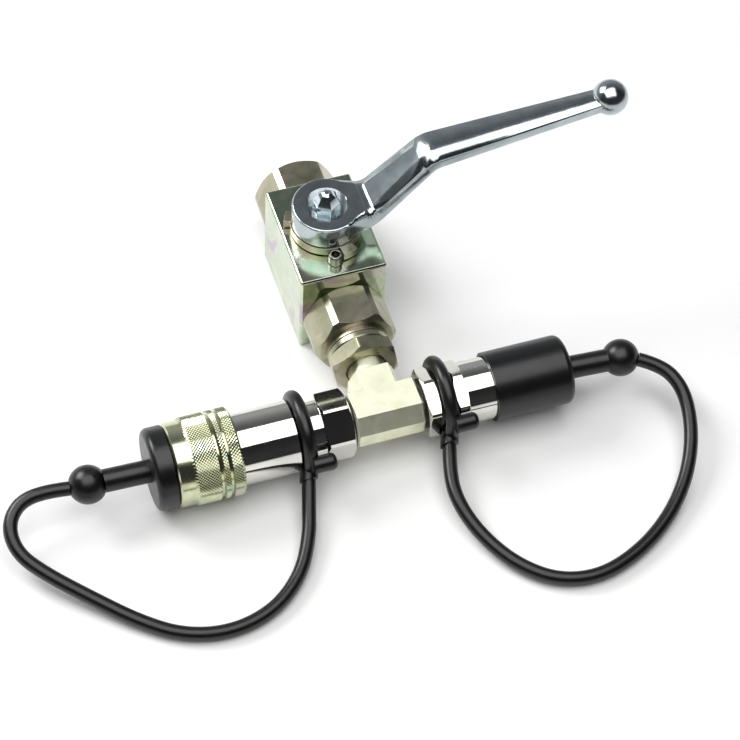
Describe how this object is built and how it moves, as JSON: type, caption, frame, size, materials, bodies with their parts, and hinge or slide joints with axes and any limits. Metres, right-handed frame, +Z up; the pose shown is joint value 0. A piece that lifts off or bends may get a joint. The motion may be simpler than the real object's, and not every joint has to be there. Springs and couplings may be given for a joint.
{
  "type": "bleed valve",
  "caption": "Block ball valve with a cranked lever, a tee on its outlet, and a female and a male quick coupling on the tee, both closed by tethered rubber covers.",
  "frame": {"origin": "on the block's foot face, on the stem's axis, in the middle of the block's width and length", "axes": "+Z up along the stem, +Y along the flow axis towards the free inlet port, +X along the tee's run towards the male coupling; the tee lies on the -Y side"},
  "size_m": [0.2723, 0.203, 0.0872],
  "materials": {
    "zinc_block": "yellow-green passivated zinc",
    "zinc_hex": "olive zinc",
    "zinc_lever": "bright bluish zinc",
    "bright_steel": "polished and nickelled",
    "sleeve_zinc": "satin yellowish zinc",
    "tee_zinc": "satin zinc",
    "spring_steel": "drawn wire",
    "ball_chrome": "polished",
    "seat_plastic": "white seat plastic",
    "black_rubber": "semi-gloss black",
    "seal_rubber": "matt black"
  },
  "bodies": {
    "housing": {"valve_body": "zinc_block", "seat_rear": "seat_plastic", "seat_front": "seat_plastic", "connector_rear": "zinc_hex", "connector_front": "zinc_hex", "connector_ring_rear": "seal_rubber", "connector_ring_front": "seal_rubber", "thrust_washer": "seat_plastic", "stop_pin": "spring_steel", "seal_washer": "zinc_hex", "seal_washer_rubber": "seal_rubber", "stud_adapter": "zinc_hex", "retaining_wire": "spring_steel", "tee": "tee_zinc", "socket_tail_seal": "seal_rubber", "socket_tail": "bright_steel", "socket_body": "bright_steel", "socket_ring": "seal_rubber", "lock_balls": "ball_chrome", "sleeve_spring": "spring_steel", "sleeve_stop_wire": "spring_steel", "socket_poppet_guide": "bright_steel", "socket_poppet_spring": "spring_steel", "nipple_tail_seal": "seal_rubber", "nipple_tail": "bright_steel", "nipple_body": "bright_steel", "nipple_poppet_guide": "bright_steel", "nipple_poppet_spring": "spring_steel", "plug_loop": "black_rubber", "cap_loop": "black_rubber"},
    "handle": {"lever": "zinc_lever", "cap_nut": "zinc_lever", "nut_washer": "zinc_lever", "stop_disc": "zinc_hex", "stem": "zinc_lever", "stem_ring": "seal_rubber", "ball": "ball_chrome"},
    "sleeve": {"sleeve": "sleeve_zinc"},
    "plug": {"dust_plug": "black_rubber", "plug_cord": "black_rubber"},
    "cap": {"dust_cap": "black_rubber", "cap_cord": "black_rubber"},
    "socket_valve": {"socket_poppet": "bright_steel", "socket_poppet_ring": "seal_rubber"},
    "nipple_valve": {"nipple_poppet": "bright_steel", "nipple_poppet_ring": "seal_rubber"}
  },
  "joints": [
    {"name": "lever_turn", "type": "hinge", "parent": "housing", "child": "handle", "pos_m": [0, 0, 0.04], "axis": [0, 0, 1], "range_deg": [0, 90]},
    {"name": "sleeve_slide", "type": "slide", "parent": "housing", "child": "sleeve", "axis": [1, 0, 0], "range_m": [0, 0.005], "stiffness_N_per_m": 800, "springref_m": -0.004, "deforming": ["sleeve_spring"]},
    {"name": "plug_pull", "type": "slide", "parent": "housing", "child": "plug", "axis": [-1, 0, 0], "range_m": [0, 0.02]},
    {"name": "cap_pull", "type": "slide", "parent": "housing", "child": "cap", "axis": [1, 0, 0], "range_m": [0, 0.036]},
    {"name": "socket_valve_lift", "type": "slide", "parent": "housing", "child": "socket_valve", "axis": [1, 0, 0], "range_m": [0, 0.005], "stiffness_N_per_m": 300, "springref_m": -0.003, "deforming": ["socket_poppet_spring"]},
    {"name": "nipple_valve_lift", "type": "slide", "parent": "housing", "child": "nipple_valve", "axis": [-1, 0, 0], "range_m": [0, 0.005], "stiffness_N_per_m": 300, "springref_m": -0.003, "deforming": ["nipple_poppet_spring"]}
  ]
}
